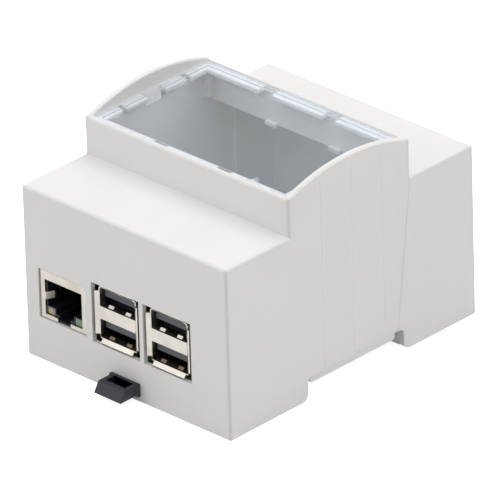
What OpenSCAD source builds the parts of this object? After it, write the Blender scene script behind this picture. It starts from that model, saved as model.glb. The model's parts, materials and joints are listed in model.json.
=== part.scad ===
// Four-module DIN rail enclosure with a credit-card-size computer board inside.
// X runs along the rail, -Y is the side with the network and USB ports, +Z points away from the rail.
// The origin lies on the rail seat, below the middle of the housing.

/* [Housing] */
// Width along the rail, four modules
body_w = 71; // [70:0.5:90]
// Depth across the rail
body_d = 90; // [89.5:0.5:110]
// Height of the front and rear shoulders above the rail seat
shoulder_h = 44; // [36:0.5:60]
// How far the feet reach below the rail seat
foot_drop = 4; // [3.5:0.1:6]
// Depth of the raised middle part
raised_d = 44; // [40:0.5:50]
// Height of the raised part's front and rear edges above the shoulders
raised_rise = 10.6; // [9:0.2:16]
// Rise of the arched end walls above those edges
arch_rise = 4.2; // [2:0.2:7]
// Side wall thickness, measured at the recessed panel
side_wall = 1.75; // [1.5:0.05:2.5]
// Front wall thickness
front_wall = 1.4; // [1.2:0.1:1.8]
// Rear wall thickness
rear_wall = 1.6; // [1.2:0.1:1.8]
// Thickness of the shoulders
top_wall = 1.2; // [1.2:0.1:3]
// Thickness of the raised part's front and rear walls
raised_wall = 1.3; // [1.2:0.1:2]
// Radius of the upright corners
corner_r = 0.5; // [0.3:0.1:1.2]
// Radius of the long top edges
edge_r = 1; // [0.4:0.1:1.2]
// Radius of the arched rims and the shoulders' side edges
rim_r = 0.7; // [0.3:0.1:0.8]

/* [Side panels] */
// How far the front and rear cheeks stand out from the middle panel
cheek_h = 0.15; // [0.15:0.05:0.4]
// Distance of the front cheek's lower end from the middle
cheek_front = 16.9; // [15:0.1:17]
// Distance of the rear cheek's lower end from the middle
cheek_rear = 16.4; // [15:0.1:17.8]
// Width of the decorative grooves
groove_w = 0.3; // [0.2:0.05:0.8]
// Depth of the grooves
groove_h = 0.1; // [0.1:0.05:0.5]
// Distance between the grooves
groove_pitch = 11.1; // [8:0.1:13]
// Gap between a groove's top and the arched rim
groove_gap = 2.4; // [1.5:0.1:5]

/* [Lid] */
// Thickness of the clear plate
lid_t = 1.1; // [0.9:0.1:1.2]
// Depth of the rim below the plate
lid_rim_h = 0.4; // [0.3:0.1:0.6]
// Width of that rim
lid_rim_w = 1.5; // [1:0.1:2]
// Width of the ledge under the lid along the arched walls
ledge_w = 2.4; // [2:0.1:3]
// Width of the ledge along the front wall
front_ledge_w = 1.8; // [1.7:0.1:3]
// Thickness of the ledge
ledge_t = 1.3; // [1:0.1:2]
// Width of the lid's snap tabs
tab_w = 5; // [4:0.1:6]
// Length of the snap tabs below the lid's rim
tab_l = 2.8; // [2.6:0.1:4]

/* [Rail fixing] */
// Width of the mounting rail
rail_w = 35; // [34.8:0.05:35.2]
// Thickness of the rail's lips
rail_t = 1; // [0.9:0.05:1.2]
// Distance of the rail's centre line behind the middle of the housing
rail_shift = 0.8; // [0:0.05:0.9]
// Height of the side walls' lower edge above the rail seat
channel_h = 2.2; // [1.8:0.1:3]
// Front edge of the rail bed, from the middle
bed_front = 15.3; // [11:0.1:15.4]
// Rear edge of the rail bed, from the middle
bed_rear = 15.7; // [11:0.1:16.5]
// Plate thickness of the base
base_t = 2; // [1.6:0.1:2.2]
// How far the hooks reach under the rail's lips
hook_grip = 1.9; // [1.5:0.1:2.5]
// Travel of the latch
latch_travel = 5; // [3.5:0.1:6]
// Width of the latch's tab
latch_w = 9.4; // [9:0.1:11]
// Distance of the latch's centre line to the left of the middle
latch_shift = 0.7; // [0:0.05:3]
// How far the latch's tab stands out of the front wall
latch_reach = 7; // [5:0.1:10]

/* [Board] */
// Length of the circuit board
board_l = 85; // [84.5:0.1:85.2]
// Width of the circuit board
board_w = 56; // [55.5:0.1:56.5]
// Thickness of the circuit board
board_t = 1.4; // [1:0.1:1.6]
// Height of the board's upper face above the rail seat
board_z = 8.2; // [7.8:0.1:9]
// Gap between the board's left edge and the side wall
board_gap = 0.8; // [0.3:0.1:1.5]
// Distance of the fixing holes from the board's edges
hole_inset = 3.5; // [3:0.1:4]
// Spacing of the fixing holes along the board
hole_pitch = 58; // [50:0.5:60]
// Radius of the fixing holes
hole_r = 1.375; // [1.3:0.025:1.5]

/* [Ports] */
// Width of the network socket
net_w = 15.9; // [15:0.1:16.2]
// Height of the network socket
net_h = 13.5; // [13:0.1:14]
// Length of the network socket
net_l = 21.3; // [18:0.1:22]
// Inner width of a USB port
usb_w = 12.3; // [12:0.05:12.5]
// Inner height of a USB port
usb_h = 5.2; // [5:0.05:5.4]
// Distance between the floors of two stacked USB ports
usb_pitch = 8.85; // [8.4:0.05:9]
// Length of the USB shells
usb_l = 17.4; // [15:0.1:18]
// Sheet thickness of the metal shells
sheet = 0.4; // [0.3:0.05:0.5]
// Gap between a port and its cut-out in the wall
port_gap = 0.35; // [0.2:0.05:0.5]

/* [Hidden] */
$fn = 64;
e = 0.1;                 // overrun of a cut past the face it opens

// colours
shell_grey = [0.83, 0.82, 0.81];
base_grey = [0.79, 0.79, 0.77];
latch_black = [0.15, 0.15, 0.17];
clear_blue = [0.85, 0.92, 0.97, 0.4];
board_green = [0.05, 0.27, 0.16];
tin = [0.84, 0.81, 0.74];
plastic_black = [0.08, 0.08, 0.09];
gold = [0.87, 0.73, 0.36];

// housing
half_w = body_w / 2;
half_d = body_d / 2;
panel_x = half_w - cheek_h;                   // outer face of the recessed side panel
inner_x = panel_x - side_wall;                // inner face of the side walls
inner_front = -half_d + front_wall;
inner_rear = half_d - rear_wall;
half_raised = raised_d / 2;
raised_top = shoulder_h + raised_rise;
arch_top = raised_top + arch_rise;
arch_r = (half_raised * half_raised + arch_rise * arch_rise) / (2 * arch_rise);
arch_z = arch_top - arch_r;                   // height of the arch's centre
raised_inner = half_raised - raised_wall;     // inner face of the raised front and rear walls
ceiling = shoulder_h - top_wall;
step_r = 0.8;                                 // rounding where the ceiling meets the raised walls
below = foot_drop + 1;                        // how far cuts run below the seat

// rail channel
rail_play = 0.15;
channel_front = rail_shift - rail_w / 2 - rail_play;
channel_rear = rail_shift + rail_w / 2 + rail_play;
foot_round = 2.2;
notch_round = 1.3;
hook_z = -rail_t - 0.15;                      // upper face of the hooks

// lid and its seat
lid_gap = 0.15;
lid_edge_w = 1.05;                            // wall left outside the lid, front and rear
seat_y = half_raised - lid_edge_w;
lid_top = raised_top - 0.05;
ledge_top = lid_top - lid_t - lid_rim_h;
ledge_low = ledge_top - ledge_t;
ledge_front = front_ledge_w - seat_y;         // front and rear edges of the opening inside the ledge
ledge_rear = seat_y - ledge_w - 0.4;
ledge_x = inner_x - ledge_w;                  // half width of that opening
end_notch_w = 1.6;                            // narrow notches in the side ledges
end_notch_y = 11.5;
tab_notch_w = tab_w + 1.9;
long_notch_w = 4.6;                           // notches in the front and rear ledges
long_notch_x = 11;
catch_w = 3.8;
tab_t = 0.9;
tab_x = inner_x - 0.3;                        // outer face of the snap tabs
wedge_low = ledge_low - 0.5;                  // underside of the wedges that hold the tabs
wedge_h = 1;
wedge_w = 2.4;

// base
fit = 0.2;                                    // clearance between base and cover
floor_low = -foot_drop + 0.8;                 // underside of the base's floor
floor_top = floor_low + base_t;
roof_top = channel_h + base_t;                // upper face of the plate over the rail channel
bed_end_r = 0.8;                              // rounding of the bed's front and rear edges
snap_places = [-30, 30];                      // the base's snap tongues, from the middle
snap_w = 8;
snap_z = 4.6;
snap_h = 1.6;
snap_bite = 0.5;
latch_x = -latch_shift;
bar_w = latch_w - 1.2;                        // width of the latch's bar
bar_low = -1.9;
bar_top = 0.7;
slide_gap = 0.25;
arm_reach = 8.4;                              // half width of the latch over its arms
arm_root = -23;                               // where the arms leave the bar
arm_tip = -33;
guide_w = 1.5;
guide_x = arm_reach + 0.5;                    // inner face of the guide ribs
stop_y = arm_tip - latch_travel - 0.3;        // rear face of the stop blocks
nose_y = rail_shift - rail_w / 2 + hook_grip; // end of the latch's nose
tab_wall = -half_d - 0.1;                     // rear face of the tab's collar
tab_top = bar_top + 0.3;
collar_w = latch_w + 0.7;
collar_t = 1;
collar_lip = 0.5;                             // how far the collar reaches below the tab

// board
board_x = -inner_x + board_gap;
board_rear = inner_rear - 0.3;
board_front = board_rear - board_l;
board_low = board_z - board_t;
board_r = 3;
screw_r = 1.2;
pilot_r = 1.22;
screw_head_r = 2.25;
screw_head_h = 1.5;
screw_l = 5;
hole_xs = [board_x + hole_inset, board_x + board_w - hole_inset];
hole_ys = [board_rear - hole_inset, board_rear - hole_inset - hole_pitch];

// ports: centre lines measured from the board's left edge
net_x = board_x + 10.25;
usb_left_x = board_x + 29;
usb_right_x = board_x + 47;
net_face = board_front - 2.7;
usb_face = board_front - 2.25;
net_open_w = 13;
net_open_low = 1.15;                          // opening's lower edge above the board
net_open_top = 11.05;
net_notch_w = 4.5;
net_corner_r = 1.1;                           // round upper right corner of the socket's face
lamp_x = 5.05;                                // lamp windows, from the socket's centre line
lamp_w = 2.9;
lamp_h = 2.3;
lamp_low = 0.9;
lamp_l = 9;
usb_floor = 1;                                // lower port's floor above the board
usb_body_w = usb_w + 2 * sheet;
usb_top = usb_floor + usb_pitch + usb_h + sheet;
usb_cut_w = 16.6;
usb_cut_low = 0.7;                            // how far a USB cut-out reaches below the board's face
flap_w = 1.2;
tongue_t = 1.8;
tongue_w = 11.1;
tongue_drop = 0.85;                           // gap between a tongue and its port's ceiling
usb_depth = 9.5;
usb_bar_l = 3;                                // length of the bar between the two ports

// sockets on the left edge: distances from the board's rear end
power_y = board_rear - 10.6;
video_y = board_rear - 32;
audio_y = board_rear - 53.5;

power_w = 7.6;
power_h = 2.7;
power_l = 5.4;
power_out = 1;                                // how far it stands out past the board's edge
video_w = 14.6;
video_h = 5.6;
video_l = 11.3;
video_out = 1.2;

// packages on the board: distances from its left edge and from its rear end
processor_x = board_x + 30;
processor_y = board_rear - 28;
network_chip_x = board_x + 31;
network_chip_y = board_rear - 57;
header_x = board_x + board_w - hole_inset;
header_y = board_rear - 32.5;
header_n = 20;
pin_pitch = 2.54;
header_h = 2.5;
camera_x = board_x + 12.2;
camera_y = board_rear - 45;
display_x = board_x + 28;
card_x = display_x;
display_y = board_rear - 3.6;

// --- helpers ---

// box given by its lowest and highest corners
module block(low, high) {
    translate(low) cube(high - low);
}

// rectangle from the origin's middle with round corners
module round_rect(w, d, r) {
    square([w - 2 * r, d], center = true);
    square([w, d - 2 * r], center = true);
    for (x = [-1, 1], y = [-1, 1]) translate([x * (w / 2 - r), y * (d / 2 - r)]) circle(r);
}

// flat outline in Y and Z, drawn out along X between two places
module along_x(x0, x1) {
    translate([x0, 0, 0]) rotate([90, 0, 90]) linear_extrude(x1 - x0) children();
}

// flat outline in X and Z, drawn out along Y between two places
module along_y(y0, y1) {
    translate([0, y1, 0]) rotate([90, 0, 0]) linear_extrude(y1 - y0) children();
}

// rectangle with round upper corners, standing on low
module round_top(w, low, high, r) {
    translate([-w / 2, low]) square([w, high - low - r]);
    translate([-w / 2 + r, low]) square([w - 2 * r, high - low]);
    for (s = [-1, 1]) translate([s * (w / 2 - r), high - r]) circle(r);
}

// the same on both sides of the housing
module both_sides() {
    children();
    mirror([1, 0, 0]) children();
}

// --- cover ---

// side view of the shoulders and feet
module foot_profile() {
    difference() {
        round_top(body_d, -foot_drop, shoulder_h, edge_r);
        channel_outline();
    }
}

// the rail channel's outline, with round upper corners and round feet
module channel_outline() {
    w = channel_rear - channel_front;
    translate([(channel_front + channel_rear) / 2, 0]) round_top(w, -below, channel_h, notch_round);
    for (s = [-1, 1])
        translate([s < 0 ? channel_front : channel_rear, -foot_drop])
            difference() {
                translate([s < 0 ? -foot_round : -e, -e]) square([foot_round + e, foot_round + e]);
                translate([s * foot_round, foot_round]) circle(foot_round);
            }
}

// shoulders and feet as one solid block with round edges
module lower_block() {
    difference() {
        intersection() {
            along_x(-half_w, half_w) foot_profile();
            translate([0, 0, -below]) linear_extrude(shoulder_h + 2 * below)
                round_rect(body_w, body_d, corner_r);
            along_y(-half_d - e, half_d + e) round_top(body_w, -below, shoulder_h, rim_r);
        }
        both_sides() along_x(panel_x, half_w + e) panel_outline();
    }
}

// the recessed panel between the two cheeks
module panel_outline() {
    slope_f = (half_raised - cheek_front) / (shoulder_h - channel_h);
    slope_r = (half_raised - cheek_rear) / (shoulder_h - channel_h);
    polygon([[-cheek_front + e * slope_f, channel_h - e], [cheek_rear - e * slope_r, channel_h - e],
             [half_raised + e * slope_r, shoulder_h + e], [-half_raised - e * slope_f, shoulder_h + e]]);
}

// side view of an arched end wall, with a fillet at each end of the arch
module arch_profile() {
    fillet_y = half_raised - edge_r;
    fillet_z = arch_z + sqrt(pow(arch_r - edge_r, 2) - fillet_y * fillet_y);
    touch = arch_r / (arch_r - edge_r);
    difference() {
        intersection() {
            translate([-half_raised, ceiling]) square([raised_d, arch_top - ceiling]);
            translate([0, arch_z]) circle(arch_r, $fn = 360);
        }
        for (s = [-1, 1]) difference() {
            polygon([[s * fillet_y, fillet_z], [s * (half_raised + e), fillet_z],
                     [s * (half_raised + e), raised_top + e],
                     [s * fillet_y * touch, arch_z + (fillet_z - arch_z) * touch + e],
                     [s * fillet_y * touch, arch_z + (fillet_z - arch_z) * touch]]);
            translate([s * fillet_y, fillet_z]) circle(edge_r);
        }
    }
}

// round-edged disc whose rim is the arch
module arch_disc() {
    translate([inner_x, 0, arch_z]) rotate([0, 90, 0]) rotate_extrude($fn = 360) {
        square([arch_r - rim_r, side_wall]);
        translate([0, rim_r]) square([arch_r, side_wall - 2 * rim_r]);
        for (a = [rim_r, side_wall - rim_r]) translate([arch_r - rim_r, a]) circle(rim_r, $fn = 32);
    }
}

// right-hand arched end wall
module arch_wall() {
    intersection() {
        along_x(inner_x, panel_x) arch_profile();
        arch_disc();
        translate([0, 0, ceiling]) linear_extrude(arch_top) round_rect(2 * panel_x, raised_d, corner_r);
    }
}

// hollow of the cover, with the ledge left standing
module cover_hollow() {
    block([-inner_x, inner_front, -below], [inner_x, inner_rear, ceiling]);
    block([-inner_x, -raised_inner, ceiling - e], [inner_x, raised_inner, ledge_low]);
    along_x(-inner_x, inner_x) for (s = [0, 1]) mirror([s, 0]) difference() {
        translate([raised_inner - e, ceiling - e]) square(step_r + e);
        translate([raised_inner + step_r, ceiling + step_r]) circle(step_r);
    }
    block([-ledge_x, ledge_front, ledge_low - e], [ledge_x, ledge_rear, arch_top]);
    block([-inner_x, -seat_y, ledge_top], [inner_x, seat_y, arch_top + e]);
    for (y = [-end_notch_y, end_notch_y])
        block([-inner_x, y - end_notch_w / 2, ledge_low - e], [inner_x, y + end_notch_w / 2, arch_top]);
    block([-inner_x, -tab_notch_w / 2, ledge_low - e], [inner_x, tab_notch_w / 2, arch_top]);
    for (x = [-long_notch_x, long_notch_x])
        block([x - long_notch_w / 2, -raised_inner, ledge_low - e],
              [x + long_notch_w / 2, raised_inner, arch_top]);
}

// grooves in the side panels, each ending short of the arch
module side_grooves() {
    for (i = [-1 : 1]) {
        y = i * groove_pitch + rail_shift / 2;
        top = arch_z + sqrt(arch_r * arch_r - y * y) - groove_gap;
        block([panel_x - groove_h, y - groove_w / 2, channel_h + groove_w],
              [panel_x + e, y + groove_w / 2, top]);
    }
}

// cut-outs for the ports in the front wall and the latch's slot
module front_cuts() {
    y0 = -half_d - e;
    y1 = inner_front + e;
    along_y(y0, y1) net_outline(-port_gap, board_z - port_gap / 2, net_corner_r + port_gap);
    for (x = [usb_left_x, usb_right_x])
        block([x - usb_cut_w / 2, y0, board_z - usb_cut_low],
              [x + usb_cut_w / 2, y1, board_z + usb_top + flap_w - port_gap]);
    block([latch_x - bar_w / 2 - slide_gap, y0, bar_low - slide_gap],
          [latch_x + bar_w / 2 + slide_gap, y1, bar_top + slide_gap]);
}

// cut-outs for the plugs in the left wall
module left_cuts() {
    power_hole = [11, 8.2];
    video_hole = [18, 10.5];
    audio_r = 4.2;
    for (p = [[power_y, board_z + 1.4, power_hole], [video_y, board_z + 3.2, video_hole]])
        translate([-half_w - e, p[0], p[1]]) rotate([90, 0, 90])
            linear_extrude(side_wall + cheek_h + 2 * e) round_rect(p[2][0], p[2][1], corner_r);
    translate([-half_w - e, audio_y, board_z + 3]) rotate([0, 90, 0])
        cylinder(h = side_wall + cheek_h + 2 * e, r = audio_r);
}

// pockets that the base's snap hooks fall into
module snap_pockets() {
    for (y = snap_places)
        block([inner_x - e, y - snap_w / 2 - fit, snap_z - snap_h],
              [inner_x + snap_bite + fit, y + snap_w / 2 + fit, snap_z + fit]);
}

// posts in the corners, catches under the notches, and ribs on the side walls
module inner_trim() {
    post_x = 2.3;
    post_y = 2;
    post_h = 7.2;
    catch_d = 1;
    catch_h = 1;
    rib_w = 1.2;
    rib_d = 0.8;
    rib_y = 30;
    rib_low = board_z + 8;
    for (s = [0, 1]) mirror([0, s, 0]) {
        block([inner_x - post_x, raised_inner - post_y, ledge_low - post_h],
              [inner_x + e, raised_inner + e, ledge_low + e]);
        block([long_notch_x - catch_w / 2, raised_inner - catch_d, ceiling],
              [long_notch_x + catch_w / 2, raised_inner + step_r, ceiling + catch_h]);
        block([inner_x - rib_d, rib_y - rib_w / 2, rib_low], [inner_x + e, rib_y + rib_w / 2, ceiling + e]);
    }
    along_y(-wedge_w / 2, wedge_w / 2)
        polygon([[inner_x + e, wedge_low], [inner_x - rib_d, wedge_low],
                 [inner_x, wedge_low + wedge_h], [inner_x + e, wedge_low + wedge_h]]);
}

module cover() color(shell_grey) {
    difference() {
        union() {
            lower_block();
            along_x(-inner_x - side_wall / 2, inner_x + side_wall / 2)
                round_top(raised_d, ceiling, raised_top, edge_r);
            both_sides() arch_wall();
        }
        cover_hollow();
        both_sides() side_grooves();
        front_cuts();
        left_cuts();
        both_sides() snap_pockets();
    }
    both_sides() inner_trim();
}

// --- base ---

// side view of the base: floors, webs and roofs folded round the rail channel
module base_profile() {
    front = inner_front + fit;
    rear = inner_rear - fit;
    web = 1.8;
    front_web = channel_front - fit;
    rear_web = channel_rear + fit;
    translate([front, floor_low]) square([front_web - front, base_t]);
    translate([rear_web, floor_low]) square([rear - rear_web, base_t]);
    translate([front_web - web, floor_low]) square([web, roof_top - floor_low]);
    translate([rear_web, floor_low]) square([web, roof_top - floor_low]);
    translate([front_web - web, channel_h]) square([2 * web - front_web - bed_front, base_t]);
    translate([bed_rear - web, channel_h]) square([2 * web + rear_web - bed_rear, base_t]);
    for (y = [-bed_front, bed_rear - web]) translate([y, bed_end_r]) square([web, roof_top - bed_end_r]);
    bed_profile();
}

// the strip that lies on the rail
module bed_profile() {
    translate([-bed_front, bed_end_r]) square([bed_front + bed_rear, channel_h - bed_end_r]);
    translate([-bed_front + bed_end_r, 0]) square([bed_front + bed_rear - 2 * bed_end_r, channel_h]);
    for (y = [-bed_front + bed_end_r, bed_rear - bed_end_r]) translate([y, bed_end_r]) circle(bed_end_r);
}

// fixed hooks that grip the rear lip of the rail
module fixed_hooks() {
    web_y = channel_rear + fit;
    tip_y = rail_shift + rail_w / 2 - hook_grip;
    lead = 0.9;
    hook_w = body_w / 6;
    hook_x = body_w * 0.24;
    for (x = [-hook_x, hook_x]) along_x(x - hook_w / 2, x + hook_w / 2)
        polygon([[web_y + e, floor_low], [tip_y + lead, floor_low], [tip_y, floor_low + lead],
                 [tip_y, hook_z], [web_y + e, hook_z]]);
}

// ribs, roof and stops that guide the latch
module latch_guide() {
    y0 = inner_front + fit;
    y1 = channel_front - fit;
    stop_t = 1.6;
    lip_w = 1.6;
    lip_h = 0.9;
    roof_z = bar_top + slide_gap;
    roof_t = 1.2;
    outer = guide_x + guide_w;
    for (s = [-1, 1]) {
        inner = s * guide_x;
        block([latch_x + min(inner, s * outer), y0, floor_low],
              [latch_x + max(inner, s * outer), y1, roof_z + e]);
        block([latch_x + min(s * (guide_x - lip_w), inner + s * e), y0, floor_low],
              [latch_x + max(s * (guide_x - lip_w), inner + s * e), y1, floor_low + lip_h]);
        block([latch_x + min(s * (bar_w / 2 + slide_gap), inner + s * e), stop_y - stop_t, floor_low],
              [latch_x + max(s * (bar_w / 2 + slide_gap), inner + s * e), stop_y, roof_z + e]);
    }
    block([latch_x - outer, y0, roof_z], [latch_x + outer, y1, roof_z + roof_t]);
}

// round posts under the board's fixing holes
module standoffs() {
    post_r = 3;
    for (x = hole_xs, y = hole_ys) {
        foot = y > 0 ? floor_top - e : channel_h;
        translate([x, y, foot]) cylinder(h = board_low - foot, r = post_r);
    }
}

// upright tongues whose wedges snap into the cover
module snap_tongues() {
    tongue = 1.4;
    x1 = inner_x - fit;
    for (y = snap_places) along_y(y - snap_w / 2, y + snap_w / 2)
        polygon([[x1 - tongue, floor_low], [x1, floor_low], [x1, snap_z - snap_h],
                 [x1 + snap_bite, snap_z - snap_h], [x1 + snap_bite, snap_z - snap_h / 2],
                 [x1, snap_z], [x1 - tongue, snap_z]]);
}

module base() color(base_grey) {
    strip_x = panel_x - 0.6;
    difference() {
        union() {
            along_x(-inner_x + fit, inner_x - fit) base_profile();
            along_x(-strip_x, strip_x) bed_profile();
            fixed_hooks();
            standoffs();
        }
        block([latch_x - guide_x - e, inner_front - e, floor_low - e],
              [latch_x + guide_x + e, channel_front + e, bar_top + slide_gap]);
        for (x = hole_xs, y = hole_ys)
            translate([x, y, board_low - screw_l]) cylinder(h = screw_l + e, r = pilot_r);
    }
    latch_guide();
    both_sides() snap_tongues();
}

// --- latch ---

// side view of the tab that is pulled with a screwdriver
module tab_profile() {
    slope = 1.75;
    polygon([[tab_wall, bar_low], [-half_d - latch_reach, bar_low],
             [-half_d - latch_reach + slope, tab_top], [tab_wall, tab_top]]);
}

// side view of the bar and its nose under the rail's lip
module bar_profile() {
    end_y = channel_front;
    step = 4;
    nose_low = floor_low + 0.3;
    lead = 1;
    polygon([[-half_d - 1, bar_low], [end_y - step, bar_low], [end_y - step, nose_low],
             [nose_y - lead, nose_low], [nose_y, nose_low + lead / 2], [nose_y, hook_z],
             [end_y, hook_z], [end_y, bar_top], [-half_d - 1, bar_top]]);
}

// one spring arm, seen from above
module arm_outline() {
    arm_t = 1.3;
    barb = 1.6;
    x0 = bar_w / 2;
    polygon([[x0 - e, arm_root], [x0 - e, arm_root - 2 * arm_t], [arm_reach - barb, arm_tip + barb],
             [arm_reach - barb, arm_tip], [arm_reach, arm_tip], [arm_reach, arm_tip + barb]]);
}

module din_latch() color(latch_black) {
    pocket_w = 6.6;
    pocket_d = 2.7;
    pocket_h = 2.3;
    pocket_y = tab_wall - collar_t;
    difference() {
        union() {
            along_x(latch_x - latch_w / 2, latch_x + latch_w / 2) tab_profile();
            block([latch_x - collar_w / 2, tab_wall - collar_t, bar_low - collar_lip],
                  [latch_x + collar_w / 2, tab_wall, tab_top + collar_lip / 2]);
            along_x(latch_x - bar_w / 2, latch_x + bar_w / 2) bar_profile();
            translate([latch_x, 0, bar_low]) linear_extrude(bar_top - bar_low) {
                arm_outline();
                mirror([1, 0, 0]) arm_outline();
            }
        }
        block([latch_x - pocket_w / 2, pocket_y - pocket_d, tab_top - pocket_h],
              [latch_x + pocket_w / 2, pocket_y, tab_top + e]);
    }
}

// --- lid ---

module clear_lid() color(clear_blue) {
    x = inner_x - lid_gap;
    y = seat_y - lid_gap;
    window_w = wedge_w + 0.4;
    difference() {
        union() {
            block([-x, -y, ledge_top], [x, y, lid_top]);
            both_sides() block([tab_x - tab_t, -tab_w / 2, ledge_top - tab_l],
                               [tab_x, tab_w / 2, ledge_top + e]);
        }
        block([-x + lid_rim_w, -y + lid_rim_w, ledge_top - e],
              [x - lid_rim_w, y - lid_rim_w, ledge_top + lid_rim_h]);
        both_sides() block([tab_x - tab_t - e, -window_w / 2, wedge_low - 0.1],
                           [tab_x + e, window_w / 2, wedge_low + wedge_h + 0.1]);
    }
}

// --- board ---

module circuit_board() color(board_green) {
    translate([0, 0, board_low]) linear_extrude(board_t) difference() {
        translate([board_x + board_w / 2, board_front + board_l / 2]) round_rect(board_w, board_l, board_r);
        for (x = hole_xs, y = hole_ys) translate([x, y]) circle(hole_r);
    }
}

module board_screws() color("silver") {
    slot_w = 0.6;
    slot_h = 0.7;
    for (x = hole_xs, y = hole_ys) translate([x, y, board_z]) difference() {
        union() {
            cylinder(h = screw_head_h, r = screw_head_r);
            translate([0, 0, -screw_l + 0.2]) cylinder(h = screw_l, r = screw_r);
        }
        for (a = [0, 90]) rotate([0, 0, a])
            block([-screw_head_r * 0.6, -slot_w / 2, screw_head_h - slot_h],
                  [screw_head_r * 0.6, slot_w / 2, screw_head_h + e]);
    }
}

// --- network socket ---

// front view of the socket, smaller by inset, standing on low: only the upper right corner is round
module net_outline(inset, low, r) {
    w = net_w - 2 * inset;
    top = board_z + net_h - inset;
    translate([net_x - w / 2, low]) square([w, top - low - r]);
    translate([net_x - w / 2, low]) square([w - r, top - low]);
    translate([net_x + w / 2 - r, top - r]) circle(r);
}

// tin can with a flat face frame, a notch for the plug's clip and a grounding spring
module ethernet_shield() color(tin) {
    spring_z = board_z + 6.3;
    spring_h = 2.1;
    difference() {
        along_y(net_face, net_face + net_l) net_outline(0, board_z, net_corner_r);
        along_y(net_face + sheet, net_face + net_l - sheet)
            net_outline(sheet, board_z - e, net_corner_r - sheet);
        block([net_x - net_open_w / 2, net_face - e, board_z + net_open_low],
              [net_x + net_open_w / 2, net_face + sheet + e, board_z + net_open_top]);
        block([net_x - net_notch_w / 2, net_face - e, board_z - e],
              [net_x + net_notch_w / 2, net_face + sheet + e, board_z + net_open_low + e]);
    }
    translate([net_x - net_open_w / 2, net_face, spring_z - spring_h / 2]) linear_extrude(spring_h)
        polygon([[-e, 0], [-e, sheet], [0.15, sheet], [1.05, 2.3], [0.5, 4.2],
                 [0.7, 4.3], [1.35, 2.25], [0.25, 0]]);
}

// moulded body with the plug's cavity and the two lamp pockets
module ethernet_insert() color(plastic_black) {
    gap = 0.05;
    y0 = net_face + sheet + gap;
    depth = 14;
    cavity_w = 11.8;
    cavity_low = 3.5;
    cavity_top = 11.2;
    step_w = 6.4;                             // steps below the cavity for the plug's clip
    step_low = 1.9;
    clip_w = 4;
    clip_low = 0.5;
    side_low = 5;                             // room for the grounding spring
    side_top = 7.6;
    side_l = 4.6;
    difference() {
        along_y(y0, net_face + net_l - sheet - gap) net_outline(sheet + gap, board_z, net_corner_r - sheet);
        for (c = [[cavity_w, cavity_low, cavity_top], [step_w, step_low, cavity_low + e],
                  [clip_w, clip_low, step_low + e]])
            block([net_x - c[0] / 2, y0 - e, board_z + c[1]], [net_x + c[0] / 2, y0 + depth, board_z + c[2]]);
        block([net_x - net_open_w / 2 - 0.3, y0 - e, board_z + side_low],
              [net_x - cavity_w / 2 + e, y0 + side_l, board_z + side_top]);
        for (s = [-1, 1]) translate([net_x + s * lamp_x, 0, 0])
            block([-lamp_w / 2 - gap, y0 - e, board_z + lamp_low - gap],
                  [lamp_w / 2 + gap, y0 + lamp_l + gap, board_z + lamp_low + lamp_h + gap]);
    }
}

// light pipe of one lamp window
module lamp(side) {
    y0 = net_face + sheet + 0.05;
    translate([net_x + side * lamp_x, 0, 0])
        block([-lamp_w / 2, y0 + 0.1, board_z + lamp_low],
              [lamp_w / 2, y0 + lamp_l, board_z + lamp_low + lamp_h]);
}
module link_lamp() color([0.15, 0.5, 0.2]) lamp(1);
module activity_lamp() color([0.65, 0.6, 0.15]) lamp(-1);

// eight spring wires hanging from the cavity's roof
module ethernet_contacts() color(gold) {
    wire = 0.35;
    pitch = 1.02;
    roof = board_z + 11.2;
    y0 = net_face + 2.6;
    for (i = [0 : 7]) {
        x = net_x + (i - 3.5) * pitch;
        along_x(x - wire / 2, x + wire / 2)
            polygon([[y0, roof], [y0 + wire, roof], [y0 + wire, roof - 0.3],
                     [y0 + 7, roof - 2.1], [y0 + 7, roof - 2.1 - wire], [y0, roof - 0.3 - wire]]);
    }
}

// --- USB stacks ---

// bent lip at one edge of a shell: its root lies on the front edge, its end stands out
module flap(length) {
    lean = 0.55;
    along_x(-length / 2, length / 2)
        polygon([[0.6, -sheet / 2], [0.6, sheet / 2], [-lean, flap_w],
                 [-lean - sheet * 0.6, flap_w - sheet * 0.8], [0, -sheet / 2]]);
}

module usb_shell(x) color(tin) {
    low = board_z + usb_floor - sheet;
    high = board_z + usb_top;
    middle = (low + high) / 2;
    rear = usb_face + usb_l;
    bend_r = 0.8;
    bar_y = usb_face + usb_bar_l;
    side_flap = 12.2;
    end_flap = 11;
    spring_x = 3;
    spring_w = 1.8;
    difference() {
        along_y(usb_face, rear) translate([x, middle]) round_rect(usb_body_w, high - low, bend_r);
        along_y(usb_face - e, rear - sheet) for (k = [0, 1]) intersection() {
            translate([x, middle]) round_rect(usb_w, high - low - 2 * sheet, bend_r - sheet);
            translate([x - usb_w / 2, low + sheet + k * usb_pitch]) square([usb_w, usb_h]);
        }
        block([x - usb_w / 2, bar_y, low + sheet + usb_h - e],
              [x + usb_w / 2, rear - sheet, low + sheet + usb_pitch + e]);
    }
    translate([x, usb_face, high - sheet / 2]) flap(end_flap);
    translate([x, usb_face, low + sheet / 2]) mirror([0, 0, 1]) flap(end_flap);
    for (s = [0, 1]) translate([x, usb_face, middle]) mirror([s, 0, 0])
        translate([usb_body_w / 2 - sheet / 2, 0, 0]) rotate([0, 90, 0]) flap(side_flap);
    for (k = [0, 1], s = [-1, 1]) translate([0, usb_face, low + sheet + k * usb_pitch])
        along_x(x + s * spring_x - spring_w / 2, x + s * spring_x + spring_w / 2) spring_profile();
}

// contact spring on the floor of a port, seen from the side: steep at the front
module spring_profile() {
    front = 0.5;
    rise = 0.65;
    crest = 0.4;
    polygon([[front - e, -e], [front + rise, rise], [front + rise + crest, rise], [usb_bar_l - e, -e]]);
}

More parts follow.
